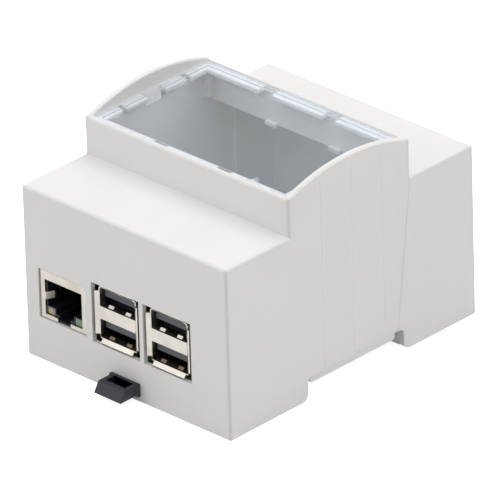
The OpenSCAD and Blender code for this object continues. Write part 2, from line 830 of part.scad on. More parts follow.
// moulded body with one contact tongue in each port
module usb_insert(x) color(plastic_black) {
    gap = 0.15;
    low = board_z + usb_floor;
    rear = usb_face + usb_l - sheet - gap;
    w = usb_w - 2 * gap;
    tongue_y = usb_face + 1.3;
    block([x - w / 2, usb_face + usb_depth, low + gap], [x + w / 2, rear, low + usb_pitch + usb_h - gap]);
    block([x - w / 2, usb_face + usb_bar_l + gap, low + usb_h + gap],
          [x + w / 2, usb_face + usb_depth + e, low + usb_pitch - gap]);
    for (k = [0, 1]) translate([0, 0, low + k * usb_pitch + usb_h - tongue_drop])
        block([x - tongue_w / 2, tongue_y, -tongue_t], [x + tongue_w / 2, usb_face + usb_depth + e, 0]);
}

// four flat contacts under each tongue
module usb_contacts(x) color(gold) {
    strip_w = 1;
    strip_t = 0.2;
    strip_y = usb_face + 2.2;
    strip_l = usb_depth - 2.7;
    for (k = [0, 1], p = [-3.5, -1, 1, 3.5]) {
        under = board_z + usb_floor + k * usb_pitch + usb_h - tongue_drop - tongue_t;
        block([x + p - strip_w / 2, strip_y, under - strip_t],
              [x + p + strip_w / 2, strip_y + strip_l, under]);
    }
}

module usb_shell_left() usb_shell(usb_left_x);
module usb_insert_left() usb_insert(usb_left_x);
module usb_contacts_left() usb_contacts(usb_left_x);
module usb_shell_right() usb_shell(usb_right_x);
module usb_insert_right() usb_insert(usb_right_x);
module usb_contacts_right() usb_contacts(usb_right_x);

// --- parts on the board ---

// flat chip package with a bevelled top, resting on z
module chip(x, y, z, size, h) {
    bevel = 0.15;
    translate([x, y, z]) {
        block([-size[0] / 2, -size[1] / 2, 0], [size[0] / 2, size[1] / 2, h - bevel]);
        block([-size[0] / 2 + bevel, -size[1] / 2 + bevel, 0], [size[0] / 2 - bevel, size[1] / 2 - bevel, h]);
    }
}

module processor() color(plastic_black) chip(processor_x, processor_y, board_z, [14, 14], 1.2);
module network_chip() color(plastic_black) chip(network_chip_x, network_chip_y, board_z, [9, 9], 0.9);
module memory_chip() color(plastic_black) translate([0, 0, 2 * board_low]) mirror([0, 0, 1])
    chip(processor_x, processor_y, board_low, [12, 11], 1);

module header_strip() color(plastic_black) {
    groove = 0.5;
    difference() {
        block([header_x - pin_pitch, header_y - header_n * pin_pitch / 2, board_z],
              [header_x + pin_pitch, header_y + header_n * pin_pitch / 2, board_z + header_h]);
        for (i = [1 : header_n - 1], s = [-1, 1])
            translate([header_x + s * pin_pitch, header_y + (i - header_n / 2) * pin_pitch, board_z])
                block([-groove / 2, -groove / 2, -e], [groove / 2, groove / 2, header_h + e]);
    }
}

module header_pins() color(gold) {
    pin = 0.64;
    pin_h = 6;
    header_top = board_z + header_h;
    for (i = [0 : header_n - 1], s = [-0.5, 0.5])
        translate([header_x + s * pin_pitch, header_y + (i + 0.5 - header_n / 2) * pin_pitch, header_top])
            block([-pin / 2, -pin / 2, 0], [pin / 2, pin / 2, pin_h]);
}

// mouth of a video or power socket, seen from the left: lower corners cut off
module mouth(w, h, cut) {
    polygon([[-w / 2, h], [-w / 2, cut], [-w / 2 + cut, 0], [w / 2 - cut, 0], [w / 2, cut], [w / 2, h]]);
}

module video_socket() color(tin) {
    x0 = board_x - video_out;
    translate([0, video_y, board_z]) difference() {
        along_x(x0, x0 + video_l) mouth(video_w, video_h, sheet);
        along_x(x0 - e, x0 + video_l - 2)
            translate([0, sheet]) mouth(video_w - 2 * sheet, video_h - 2 * sheet, 1.4);
    }
}
module video_tongue() color(plastic_black) {
    x0 = board_x - video_out;
    half = 5.5;
    thick = 1.1;
    translate([0, video_y, board_z + video_h / 2])
        block([x0 + 2, -half, -thick / 2], [x0 + video_l - 2, half, thick / 2]);
}

module power_socket() color(tin) {
    x0 = board_x - power_out;
    skin = 0.3;
    translate([0, power_y, board_z]) difference() {
        along_x(x0, x0 + power_l) mouth(power_w, power_h, skin);
        along_x(x0 - e, x0 + power_l - 1)
            translate([0, skin]) mouth(power_w - 2 * skin, power_h - 2 * skin, 0.7);
    }
}
module power_tongue() color(plastic_black) {
    x0 = board_x - power_out;
    half = 1.9;
    thick = 0.5;
    translate([0, power_y, board_z + power_h / 2])
        block([x0 + 0.8, -half, -thick / 2], [x0 + power_l - 1, half, thick / 2]);
}

module audio_jack() color(plastic_black) {
    w = 6.8;
    h = 6;
    l = 12.3;
    barrel_r = 2.9;
    barrel_l = 2;
    bore_r = 1.8;
    difference() {
        union() {
            block([board_x, audio_y - w / 2, board_z], [board_x + l, audio_y + w / 2, board_z + h]);
            translate([board_x - barrel_l, audio_y, board_z + h / 2]) rotate([0, 90, 0])
                cylinder(h = barrel_l + e, r = barrel_r);
        }
        translate([board_x - barrel_l - e, audio_y, board_z + h / 2]) rotate([0, 90, 0])
            cylinder(h = l, r = bore_r);
    }
}

// upright flat-cable connector: pale body with a dark clamp bar
module cable_connector(x, y) {
    w = 22;
    d = 2.6;
    h = 5.2;
    slot = 0.6;
    slot_h = 3;
    cheek = 1.5;
    top = board_z + h;
    difference() {
        block([x - w / 2, y - d / 2, board_z], [x + w / 2, y + d / 2, top]);
        block([x - w / 2 + cheek, y - slot / 2, top - slot_h], [x + w / 2 - cheek, y + slot / 2, top + e]);
    }
}
module camera_connector() color("ivory") cable_connector(camera_x, camera_y);
module display_connector() color("ivory") cable_connector(display_x, display_y);

module card_slot() color(tin) {
    w = 12;
    l = 11.6;
    h = 1.4;
    card_h = 0.8;
    x = card_x;
    difference() {
        block([x - w / 2, board_rear - l, board_low - h], [x + w / 2, board_rear, board_low]);
        block([x - w / 2 + sheet, board_rear - l + 1.5, board_low - h + sheet / 2],
              [x + w / 2 - sheet, board_rear + e, board_low - h + sheet / 2 + card_h]);
    }
}

// capacitor, coils and small packages spread over the board: place, size
module small_components() color([0.35, 0.33, 0.3]) {
    can_r = 3.1;
    translate([board_x + 7.5, board_rear - 19.5, board_z]) cylinder(h = 5.4, r = can_r);
    for (c = [[20, 11, 4, 4, 2], [26, 11, 3.2, 2.5, 1.2], [12, 60, 3.2, 2.5, 0.9], [42, 58, 5, 3.2, 0.9],
              [41, 24, 5, 5, 1], [42, 36, 2, 1.2, 0.8], [42, 40, 2, 1.2, 0.8], [26, 44, 4, 3, 1.1],
              [38, 14, 2, 1.2, 0.8], [44, 14, 2, 1.2, 0.8]])
        translate([board_x + c[0], board_rear - c[1], board_z])
            block([-c[2] / 2, -c[3] / 2, 0], [c[2] / 2, c[3] / 2, c[4]]);
}

module status_lamps() color([0.5, 0.7, 0.4]) {
    for (v = [8, 11]) translate([board_x + v, board_rear - 1.6, board_z])
        block([-0.8, -0.4, 0], [0.8, 0.4, 0.6]);
}

cover();
base();
din_latch();
clear_lid();
circuit_board();
board_screws();
ethernet_shield();
ethernet_insert();
ethernet_contacts();
link_lamp();
activity_lamp();
usb_shell_left();
usb_insert_left();
usb_contacts_left();
usb_shell_right();
usb_insert_right();
usb_contacts_right();
processor();
network_chip();
memory_chip();
header_strip();
header_pins();
video_socket();
video_tongue();
power_socket();
power_tongue();
audio_jack();
camera_connector();
display_connector();
card_slot();
small_components();
status_lamps();
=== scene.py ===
import bpy
import bmesh
import json
from math import radians, pi, sin, cos
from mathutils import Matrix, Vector

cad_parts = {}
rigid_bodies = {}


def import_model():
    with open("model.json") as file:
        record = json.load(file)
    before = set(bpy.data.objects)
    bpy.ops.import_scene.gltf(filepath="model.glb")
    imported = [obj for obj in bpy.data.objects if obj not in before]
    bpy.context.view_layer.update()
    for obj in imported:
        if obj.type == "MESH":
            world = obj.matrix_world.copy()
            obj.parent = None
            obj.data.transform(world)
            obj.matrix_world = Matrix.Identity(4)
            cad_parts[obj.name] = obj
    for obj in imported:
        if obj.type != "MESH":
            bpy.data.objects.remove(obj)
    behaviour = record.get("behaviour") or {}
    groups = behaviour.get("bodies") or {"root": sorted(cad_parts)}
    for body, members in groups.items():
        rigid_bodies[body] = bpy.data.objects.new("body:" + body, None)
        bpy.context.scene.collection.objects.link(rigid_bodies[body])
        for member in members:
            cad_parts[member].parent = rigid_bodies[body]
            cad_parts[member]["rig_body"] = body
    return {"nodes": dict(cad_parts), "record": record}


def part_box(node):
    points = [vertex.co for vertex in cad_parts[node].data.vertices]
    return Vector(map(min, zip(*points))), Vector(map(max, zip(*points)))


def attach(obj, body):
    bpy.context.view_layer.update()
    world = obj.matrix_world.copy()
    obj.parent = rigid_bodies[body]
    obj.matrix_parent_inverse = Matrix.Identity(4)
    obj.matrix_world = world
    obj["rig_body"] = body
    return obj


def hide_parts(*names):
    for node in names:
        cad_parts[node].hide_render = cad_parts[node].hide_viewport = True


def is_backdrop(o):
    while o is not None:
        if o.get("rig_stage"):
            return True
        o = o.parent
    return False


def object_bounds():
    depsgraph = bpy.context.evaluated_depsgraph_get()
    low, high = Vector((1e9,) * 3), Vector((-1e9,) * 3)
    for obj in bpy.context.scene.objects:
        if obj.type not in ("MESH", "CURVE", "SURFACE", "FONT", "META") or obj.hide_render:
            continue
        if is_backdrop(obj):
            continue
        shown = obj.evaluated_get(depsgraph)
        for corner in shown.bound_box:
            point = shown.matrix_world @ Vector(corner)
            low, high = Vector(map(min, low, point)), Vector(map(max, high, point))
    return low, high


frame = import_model()
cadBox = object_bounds()
cad = frame["nodes"]
scene = bpy.context.scene
print("frame loaded,", len(cad), "nodes")

# angles in degrees, lens and sensor in millimetres, all other lengths in metres
cameraSetup = {"azimuth": 44.545, "elevation": 27.727, "roll": -1.727, "distance": 2.8312,
               "aim": (0.00258, -0.00303, 0.02207), "lens": 811.6, "sensor": 36.0, "clip": (0.1, 20.0)}


def makeCamera(setup):
    azimuth, elevation, roll = (radians(setup[k]) for k in ("azimuth", "elevation", "roll"))
    forward = Vector((-sin(azimuth) * cos(elevation), cos(azimuth) * cos(elevation), -sin(elevation)))
    level = Vector((cos(azimuth), sin(azimuth), 0.0))
    upright = level.cross(forward)
    right = level * cos(roll) + upright * sin(roll)
    up = upright * cos(roll) - level * sin(roll)
    data = bpy.data.cameras.new("productCamera")
    data.lens = setup["lens"]
    data.sensor_width = setup["sensor"]
    data.clip_start, data.clip_end = setup["clip"]
    camera = bpy.data.objects.new("productCamera", data)
    scene.collection.objects.link(camera)
    place = Vector(setup["aim"]) - forward * setup["distance"]
    for column, axis in enumerate((right, up, -forward, place)):
        for row in range(3):
            camera.matrix_world[row][column] = axis[row]
    scene.camera = camera


makeCamera(cameraSetup)

white, black = (1, 1, 1), (0, 0, 0)


def fillInputs(tree, node, inputs):
    # each input gets a plain value or the output of another node
    for slot, given in inputs.items():
        if isinstance(given, bpy.types.NodeSocket):
            tree.links.new(given, node.inputs[slot])
        else:
            node.inputs[slot].default_value = given


def addNode(tree, kind, inputs, **settings):
    node = tree.nodes.new(kind)
    for name, value in settings.items():
        setattr(node, name, value)
    fillInputs(tree, node, inputs)
    return node


def mathStep(tree, operation, *given):
    return addNode(tree, "ShaderNodeMath", dict(enumerate(given)), operation=operation).outputs[0]


def vectorStep(tree, operation, *given, output="Vector"):
    step = addNode(tree, "ShaderNodeVectorMath", dict(enumerate(given)), operation=operation)
    return step.outputs[output]


def mixShaders(tree, factor, first, second):
    return addNode(tree, "ShaderNodeMixShader", {"Fac": factor, 1: first, 2: second}).outputs["Shader"]


def mixColours(tree, factor, first, second):
    # first and second are colours or outputs; a Mix node has its colours at 6 and 7 and gives one at 2
    first, second = ((*given, 1) if isinstance(given, tuple) else given for given in (first, second))
    return addNode(tree, "ShaderNodeMix", {0: factor, 6: first, 7: second}, data_type="RGBA").outputs[2]


def objectPlace(tree):
    return tree.nodes.new("ShaderNodeTexCoord").outputs["Object"]


def splitAxes(tree, vector):
    return addNode(tree, "ShaderNodeSeparateXYZ", {"Vector": vector}).outputs


def startMaterial(name):
    material = bpy.data.materials.new(name)
    material.use_nodes = True
    tree = material.node_tree
    return material, tree, tree.nodes["Principled BSDF"]


def addNoise(tree, scale, detail, stretch=(1, 1, 1)):
    mapping = addNode(tree, "ShaderNodeMapping", {"Scale": stretch, "Vector": objectPlace(tree)})
    inputs = {"Scale": scale, "Detail": detail, "Vector": mapping.outputs["Vector"]}
    return addNode(tree, "ShaderNodeTexNoise", inputs).outputs["Fac"]


def twoColours(tree, factor, first, second, low=0.35, high=0.65):
    ramp = addNode(tree, "ShaderNodeValToRGB", {"Fac": factor})
    for element, position, colour in zip(ramp.color_ramp.elements, (low, high), (first, second)):
        element.position = position
        element.color = (*colour, 1)
    return ramp.outputs["Color"]


def between(tree, factor, low, high):
    # low where the factor is 0 and high where it is 1
    inputs = {"To Min": low, "To Max": high, "Value": factor}
    return addNode(tree, "ShaderNodeMapRange", inputs).outputs["Result"]


def rise(tree, value, start, end):
    # 0 at start and 1 at end
    inputs = {"From Min": start, "From Max": end, "Value": value}
    return addNode(tree, "ShaderNodeMapRange", inputs).outputs["Result"]


def alongAxis(tree, axis, start, end):
    return rise(tree, splitAxes(tree, objectPlace(tree))[axis], start, end)


def addBump(tree, shader, height, strength, distance, under=None):
    inputs = {"Strength": strength, "Distance": distance, "Height": height}
    if under is not None:
        inputs["Normal"] = under
    normal = addNode(tree, "ShaderNodeBump", inputs).outputs["Normal"]
    tree.links.new(normal, shader.inputs["Normal"])
    return normal


def insideBox(tree, low, high):
    # 1 inside a box given in object coordinates, 0 outside
    middle = [(a + b) / 2 for a, b in zip(low, high)]
    half = [(b - a) / 2 for a, b in zip(low, high)]
    distance = vectorStep(tree, "ABSOLUTE", vectorStep(tree, "SUBTRACT", objectPlace(tree), middle))
    beyond = splitAxes(tree, vectorStep(tree, "SUBTRACT", distance, half))
    furthest = mathStep(tree, "MAXIMUM", mathStep(tree, "MAXIMUM", beyond["X"], beyond["Y"]), beyond["Z"])
    return mathStep(tree, "LESS_THAN", furthest, 0.0)


# what every plastic has unless its own look says otherwise
plasticBasics = {"cloud": 45, "specular": 0.4, "coat": 0.0, "coatRoughness": 0.2,
                 "flow": 60, "flowStrength": 0.15, "flowDepth": 0.00002}
plasticLooks = {
    "housingPlastic": {"colour": (0.815, 0.806, 0.795), "second": (0.835, 0.827, 0.816), "grain": 2600,
                       "roughness": (0.40, 0.52), "bump": 0.10, "depth": 0.00004, "specular": 0.35},
    "basePlastic": {"colour": (0.84, 0.845, 0.815), "second": (0.86, 0.865, 0.835), "grain": 2200,
                    "roughness": (0.45, 0.58), "bump": 0.12, "depth": 0.00004, "specular": 0.35},
    "latchPlastic": {"colour": (0.014, 0.015, 0.024), "second": (0.024, 0.025, 0.036), "grain": 2400,
                     "roughness": (0.38, 0.52), "bump": 0.16, "depth": 0.00004, "specular": 0.38},
    "socketPlastic": {"colour": (0.006, 0.007, 0.011), "second": (0.011, 0.012, 0.017), "grain": 3000,
                      "roughness": (0.38, 0.52), "bump": 0.1, "depth": 0.00003, "specular": 0.35},
    "usbPlastic": {"colour": (0.048, 0.053, 0.066), "second": (0.064, 0.070, 0.084), "grain": 3000,
                   "roughness": (0.35, 0.48), "bump": 0.08, "depth": 0.00003},
    "chipPlastic": {"colour": (0.018, 0.018, 0.020), "second": (0.028, 0.028, 0.030), "grain": 6000,
                    "roughness": (0.42, 0.55), "bump": 0.2, "depth": 0.00003},
    "connectorPlastic": {"colour": (0.60, 0.55, 0.46), "second": (0.66, 0.61, 0.52), "grain": 3000,
                         "roughness": (0.45, 0.6), "bump": 0.08, "depth": 0.00003},
    "ceramicBody": {"colour": (0.36, 0.26, 0.17), "second": (0.44, 0.33, 0.22), "grain": 5000, "cloud": 400,
                    "roughness": (0.4, 0.6), "bump": 0.1, "depth": 0.00002},
    "componentBody": {"colour": (0.05, 0.05, 0.055), "second": (0.09, 0.09, 0.095), "grain": 5000,
                      "cloud": 200, "roughness": (0.4, 0.6), "bump": 0.12, "depth": 0.00002},
    "lampClear": {"colour": (0.5, 0.55, 0.42), "second": (0.6, 0.64, 0.5), "grain": 2000,
                  "roughness": (0.15, 0.25), "bump": 0.03, "depth": 0.00002, "coat": 0.5}}


def mouldedPlastic(name, ownLook):
    look = {**plasticBasics, **ownLook}
    material, tree, shader = startMaterial(name)
    cloud = addNoise(tree, look["cloud"], detail=3)
    grain = addNoise(tree, look["grain"], detail=2)
    fillInputs(tree, shader, {"Base Color": twoColours(tree, cloud, look["colour"], look["second"]),
                              "Roughness": between(tree, grain, *look["roughness"]),
                              "Specular IOR Level": look["specular"], "Coat Weight": look["coat"],
                              "Coat Roughness": look["coatRoughness"]})
    flow = addNoise(tree, look["flow"], detail=1)
    wave = addBump(tree, shader, flow, look["flowStrength"], look["flowDepth"])
    addBump(tree, shader, grain, look["bump"], look["depth"], wave)
    return material


# deep: thickness of the layer below the lid's top; reach: how far light spreads in it
ledgeLook = {"deep": 0.0029, "reach": 0.0020}


def letLightThrough(material, look):
    # the thin ledge under the lid passes some of the light that falls on it
    tree = material.node_tree
    shader = tree.nodes["Principled BSDF"]
    low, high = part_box("clear_lid")
    ledge = insideBox(tree, (low[0], low[1], high[2] - look["deep"]), high)
    fillInputs(tree, shader, {"Subsurface Weight": ledge, "Subsurface Radius": (1, 1, 1),
                              "Subsurface Scale": look["reach"]})


# layers, painted lighter as painted light: depth below the cheeks, half thickness, distance from the middle
# up to which it counts
# corners, painted darker as painted shade: distances from the side and from the front, lowest height
grooveLightCornerShadeLook = {"layers": [(0.00025, 0.00006, 0.020), (0.000075, 0.00006, 0.0226)], "light": (0.93, 0.92, 0.91),
            "corners": [(0.0, 0.0, -0.01), (0.00015, 0.023, 0.0437)], "edge": 0.0009, "slack": 0.00002,
            "dark": (0.69, 0.645, 0.625)}


def paintGrooveLightCornerShade(material, look):
    # painted light and shade: grooves and steps are painted lighter so that they look shallow, and upright
    # corners are painted a little darker
    tree = material.node_tree
    shader = tree.nodes["Principled BSDF"]
    colour = shader.inputs["Base Color"].links[0].from_socket
    place = splitAxes(tree, objectPlace(tree))
    x, y = (mathStep(tree, "ABSOLUTE", place[axis]) for axis in "XY")
    low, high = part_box("cover")
    sideX, frontY = high[0], -low[1]
    for depth, reach, within in look["layers"]:
        layer = mathStep(tree, "COMPARE", x, sideX - depth, reach)
        paintedGrooveLight = mathStep(tree, "MULTIPLY", layer, mathStep(tree, "LESS_THAN", y, within))
        # painted light: a lighter colour in the grooves and along the cheek step
        colour = mixColours(tree, paintedGrooveLight, colour, look["light"])
    for inX, inY, lowest in look["corners"]:
        corner = mathStep(tree, "GREATER_THAN", place["Z"], lowest)
        for distance, end in ((x, sideX - inX), (y, frontY - inY)):
            near = rise(tree, distance, end - look["edge"], end)
            inside = mathStep(tree, "LESS_THAN", distance, end + look["slack"])
            corner = mathStep(tree, "MULTIPLY", corner, mathStep(tree, "MULTIPLY", near, inside))
        # painted shade: a darker colour along the upright corners
        colour = mixColours(tree, corner, colour, look["dark"])
    tree.links.new(colour, shader.inputs["Base Color"])


metalLooks = {
    "shellTin": {"colour": (0.43, 0.40, 0.355), "second": (0.49, 0.46, 0.41), "cloud": 220, "grain": 900,
                 "stretch": (1, 1, 0.12), "roughness": (0.26, 0.38), "bump": 0.05, "depth": 0.00002},
    # portTin holds painted shade: the deep colour darkens the inside of the ports, the last colour darkens
    # the springs of the lower ports
    "portTin": {"colour": (0.46, 0.435, 0.395), "second": (0.53, 0.505, 0.46), "cloud": 220, "grain": 900,
                "stretch": (1, 1, 0.12), "roughness": (0.26, 0.38), "bump": 0.05, "depth": 0.00002,
                "face": "usb_shell_left", "inner": (0.0020, 0.0040), "deep": (0.035, 0.042, 0.075),
                "springs": (0.0004, 0.0022), "springHeights": (0.0010, 0.0018), "paintedSpringShade": (0.13, 0.10, 0.07)},
    "contactGold": {"colour": (0.80, 0.55, 0.22), "second": (0.88, 0.66, 0.32), "cloud": 500, "grain": 2500,
                    "stretch": (1, 1, 1), "roughness": (0.2, 0.32), "bump": 0.03, "depth": 0.00001},
    "screwSteel": {"colour": (0.52, 0.51, 0.49), "second": (0.62, 0.61, 0.60), "cloud": 400, "grain": 2500,
                   "stretch": (1, 1, 0.3), "roughness": (0.26, 0.38), "bump": 0.05, "depth": 0.00001},
    "solderTin": {"colour": (0.66, 0.66, 0.65), "second": (0.76, 0.76, 0.76), "cloud": 700, "grain": 3000,
                  "stretch": (1, 1, 1), "roughness": (0.2, 0.38), "bump": 0.06, "depth": 0.00001}}


def sheetMetal(name, look):
    material, tree, shader = startMaterial(name)
    cloud = addNoise(tree, look["cloud"], detail=4)
    colour = twoColours(tree, cloud, look["colour"], look["second"])
    if "face" in look:
        # depths count from the face of the ports and heights from the board
        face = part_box(look["face"])[0][1]
        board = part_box("circuit_board")[1][2]
        # painted shade: the inside of a port is painted darker, as it gets little light
        depth = alongAxis(tree, "Y", *(face + inner for inner in look["inner"]))
        colour = mixColours(tree, depth, colour, look["deep"])
        # painted shade: the springs on the floor of the lower ports are painted darker, to dim their glint
        ends = [(side[0], face + inner, board + height)
                for side, inner, height in zip(cadBox, look["springs"], look["springHeights"])]
        colour = mixColours(tree, insideBox(tree, *ends), colour, look["paintedSpringShade"])
    streaks = addNoise(tree, look["grain"], detail=3, stretch=look["stretch"])
    fillInputs(tree, shader, {"Base Color": colour, "Metallic": 1.0,
                              "Roughness": between(tree, streaks, *look["roughness"])})
    addBump(tree, shader, streaks, look["bump"], look["depth"])
    return material


lampBasics = {"core": 0.0008, "blur": 0.2, "cloud": 900, "grain": 1500, "roughness": (0.2, 0.32),
              "coat": 0.4}
lampLooks = {
    "lampGreen": {"node": "link_lamp", "colour": (0.09, 0.24, 0.07), "outer": (0.10, 0.12, 0.11),
                  "second": (0.14, 0.16, 0.15)},
    "lampYellow": {"node": "activity_lamp", "colour": (0.42, 0.34, 0.06), "outer": (0.13, 0.13, 0.11),
                   "second": (0.17, 0.17, 0.15)}}


def lampWindow(name, ownLook):
    # clouded block round a coloured core
    look = {**lampBasics, **ownLook}
    material, tree, shader = startMaterial(name)
    middle = [(a + b) / 2 for a, b in zip(*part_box(look["node"]))]
    away = vectorStep(tree, "SUBTRACT", objectPlace(tree), middle)
    flat = vectorStep(tree, "MULTIPLY", away, (1, 0, 1))
    radius = vectorStep(tree, "LENGTH", flat, output="Value")
    outside = rise(tree, radius, look["core"] * (1 - look["blur"]), look["core"] * (1 + look["blur"]))
    cloud = twoColours(tree, addNoise(tree, look["cloud"], detail=2), look["outer"], look["second"])
    grain = addNoise(tree, look["grain"], detail=2)
    fillInputs(tree, shader, {"Base Color": mixColours(tree, outside, look["colour"], cloud),
                              "Roughness": between(tree, grain, *look["roughness"]),
                              "Coat Weight": look["coat"]})
    return material


# the edge light colour is a painted glow on the lid's edge faces and snap tabs
clearLook = {"colour": (0.85, 0.88, 0.925), "second": (0.87, 0.895, 0.935), "roughness": (0.0, 0.03),
             "ior": 1.50, "smear": 30, "wave": 25, "waveStrength": 0.05, "waveDepth": 0.00002,
             "shade": (0.955, 0.96, 0.965), "paintedEdgeGlow": (0.61, 0.62, 0.635), "paintedGlowShare": 0.70,
             "clearDepth": 0.0016, "fade": 0.0004, "steep": 0.5,
             "dust": (0.78, 0.92, 1.0), "dustShare": 0.35, "dustScale": 900, "dustSizes": (0.06, 0.09),
             "patchScale": 60, "patchLimits": (0.5, 0.6), "haze": (0.0, 0.045)}


def clearPlastic(name, look):
    material, tree, shader = startMaterial(name)
    smear = addNoise(tree, look["smear"], detail=3)
    fillInputs(tree, shader, {"Base Color": twoColours(tree, smear, look["colour"], look["second"]),
                              "Roughness": between(tree, smear, *look["roughness"]),
                              "Transmission Weight": 1.0, "IOR": look["ior"]})
    addBump(tree, shader, addNoise(tree, look["wave"], detail=1), look["waveStrength"], look["waveDepth"])
    # painted light: the plate's edge faces and the snap tabs glow, standing for light that the plate
    # gathers and lets out there
    low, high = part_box("clear_lid")
    plateEnd = high[2] - look["clearDepth"]
    tabs = alongAxis(tree, "Z", plateEnd, plateEnd - look["fade"])
    normal = splitAxes(tree, tree.nodes.new("ShaderNodeTexCoord").outputs["Normal"])
    upright = mathStep(tree, "LESS_THAN", mathStep(tree, "ABSOLUTE", normal["Z"]), look["steep"])
    share = mathStep(tree, "MULTIPLY", mathStep(tree, "MAXIMUM", tabs, upright), look["paintedGlowShare"])
    paintedGlow = addNode(tree, "ShaderNodeEmission", {"Color": (*look["paintedEdgeGlow"], 1)}).outputs["Emission"]
    lit = mixShaders(tree, share, shader.outputs["BSDF"], paintedGlow)
    # specks of dust lie in patches, on a haze that grows from left to right
    place = objectPlace(tree)
    specks = addNode(tree, "ShaderNodeTexVoronoi", {"Scale": look["dustScale"], "Vector": place})
    spots = twoColours(tree, specks.outputs["Distance"], white, black, *look["dustSizes"])
    patchNoise = addNoise(tree, look["patchScale"], detail=1)
    patches = twoColours(tree, patchNoise, black, white, *look["patchLimits"])
    haze = between(tree, alongAxis(tree, "X", low[0], high[0]), *look["haze"])
    dust = mathStep(tree, "MULTIPLY", spots, patches)
    film = mathStep(tree, "MULTIPLY_ADD", dust, look["dustShare"], haze)
    powder = addNode(tree, "ShaderNodeBsdfDiffuse", {"Color": (*look["dust"], 1)}).outputs["BSDF"]
    dusted = mixShaders(tree, film, lit, powder)
    # shadow rays pass straight through, so that the room light reaches the inside
    shadowRay = tree.nodes.new("ShaderNodeLightPath").outputs["Is Shadow Ray"]
    passing = addNode(tree, "ShaderNodeBsdfTransparent", {"Color": (*look["shade"], 1)}).outputs["BSDF"]
    surface = mixShaders(tree, shadowRay, dusted, passing)
    tree.links.new(surface, tree.nodes["Material Output"].inputs["Surface"])
    return material


boardLook = {"colour": (0.018, 0.120, 0.062), "line": (0.030, 0.17, 0.090), "pad": (0.48, 0.40, 0.22),
             "edge": (0.045, 0.150, 0.085), "grain": 300, "roughness": (0.28, 0.42), "bump": 0.2,
             "depth": 0.00003, "lineScale": 420, "lineSpread": 0.55, "lineWidths": (0.05, 0.07),
             "padScale": 330, "padSizes": (0.10, 0.13)}


def solderMask(name, look):
    # copper lines and round pads show faintly through the green mask; the cut edge shows laminate, in a
    # lighter green that is partly painted light, as the edge gets little light
    material, tree, shader = startMaterial(name)
    place = objectPlace(tree)
    lines = addNode(tree, "ShaderNodeTexVoronoi", {
        "Scale": look["lineScale"], "Randomness": look["lineSpread"], "Vector": place},
        feature="DISTANCE_TO_EDGE").outputs["Distance"]
    pads = addNode(tree, "ShaderNodeTexVoronoi", {"Scale": look["padScale"], "Vector": place})
    mask = twoColours(tree, lines, look["line"], look["colour"], *look["lineWidths"])
    padShare = twoColours(tree, pads.outputs["Distance"], white, black, *look["padSizes"])
    top = mixColours(tree, padShare, mask, look["pad"])
    normal = splitAxes(tree, tree.nodes.new("ShaderNodeNewGeometry").outputs["Normal"])
    level = mathStep(tree, "ABSOLUTE", normal["Z"])
    roughness = between(tree, addNoise(tree, look["grain"], detail=2), *look["roughness"])
    fillInputs(tree, shader, {"Base Color": mixColours(tree, level, look["edge"], top),
                              "Roughness": roughness})
    addBump(tree, shader, lines, look["bump"], look["depth"])
    return material


finish = {name: mouldedPlastic(name, look) for name, look in plasticLooks.items()}
finish.update({name: sheetMetal(name, look) for name, look in metalLooks.items()})
finish.update({name: lampWindow(name, look) for name, look in lampLooks.items()})
finish["lidPlastic"] = clearPlastic("lidPlastic", clearLook)
finish["boardMask"] = solderMask("boardMask", boardLook)
letLightThrough(finish["housingPlastic"], ledgeLook)
paintGrooveLightCornerShade(finish["housingPlastic"], grooveLightCornerShadeLook)
slotFinish = {"housing": "housingPlastic", "base": "basePlastic", "latch": "latchPlastic",
              "lid": "lidPlastic", "board": "boardMask", "screw_steel": "screwSteel",
              "shell_tin": "shellTin", "socket_black": "socketPlastic", "usb_plastic": "usbPlastic",
              "contact_gold": "contactGold", "lamp_green": "lampGreen", "lamp_yellow": "lampYellow",
              "chip_black": "chipPlastic", "connector_ivory": "connectorPlastic",
              "components": "componentBody", "lamp_clear": "lampClear"}
nodeSlot = {part["node"]: part["material_slot"] for part in frame["record"]["subparts"]}
nodeFinish = {name: slotFinish[slot] for name, slot in nodeSlot.items()}
nodeFinish.update({"usb_shell_left": "portTin", "usb_shell_right": "portTin"})
for nodeName, nodeObject in cad.items():
    nodeObject.material_slots[0].material = finish[nodeFinish[nodeName]]
print("materials:", len(finish))


def addObject(name, mesh):
    piece = bpy.data.objects.new(name, mesh)
    scene.collection.objects.link(piece)
    return piece


def bakeModifiers(piece):
    graph = bpy.context.evaluated_depsgraph_get()
    mesh = bpy.data.meshes.new_from_object(piece.evaluated_get(graph))
    piece.modifiers.clear()
    piece.data = mesh


def meshFrom(name, build):
    shape = bmesh.new()
    build(shape)
    mesh = bpy.data.meshes.new(name)
    shape.to_mesh(mesh)
    shape.free()
    return mesh


squareCorners = ((-1, -1), (1, -1), (1, 1), (-1, 1))


def anglesRound(sides):
    return [2 * pi * i / sides for i in range(sides)]


def joinRings(shape, rings):
    # walls between the rings and a cap at either end
    for lower, upper in zip(rings, rings[1:]):
        for i in range(len(lower)):
            j = (i + 1) % len(lower)
            shape.faces.new((lower[i], lower[j], upper[j], upper[i]))
    shape.faces.new(list(reversed(rings[0])))
    shape.faces.new(rings[-1])


def smoothShade(mesh, angle):
    mesh.shade_smooth()
    mesh.set_sharp_from_angle(angle=radians(angle))


def startTree(name, inputs):
    tree = bpy.data.node_groups.new(name, "GeometryNodeTree")
    for label, kind in inputs.items():
        tree.interface.new_socket(label, in_out="INPUT", socket_type="NodeSocket" + kind)
    tree.interface.new_socket("Result", in_out="OUTPUT", socket_type="NodeSocketGeometry")
    return tree, tree.nodes.new("NodeGroupInput").outputs


def endTree(tree, copies, paint):
    # the copies become one plain mesh with one material
    joined = addNode(tree, "GeometryNodeRealizeInstances", {"Geometry": copies}).outputs["Geometry"]
    painted = addNode(tree, "GeometryNodeSetMaterial", {"Geometry": joined, "Material": paint})
    addNode(tree, "NodeGroupOutput", {"Result": painted.outputs["Geometry"]})
    return tree


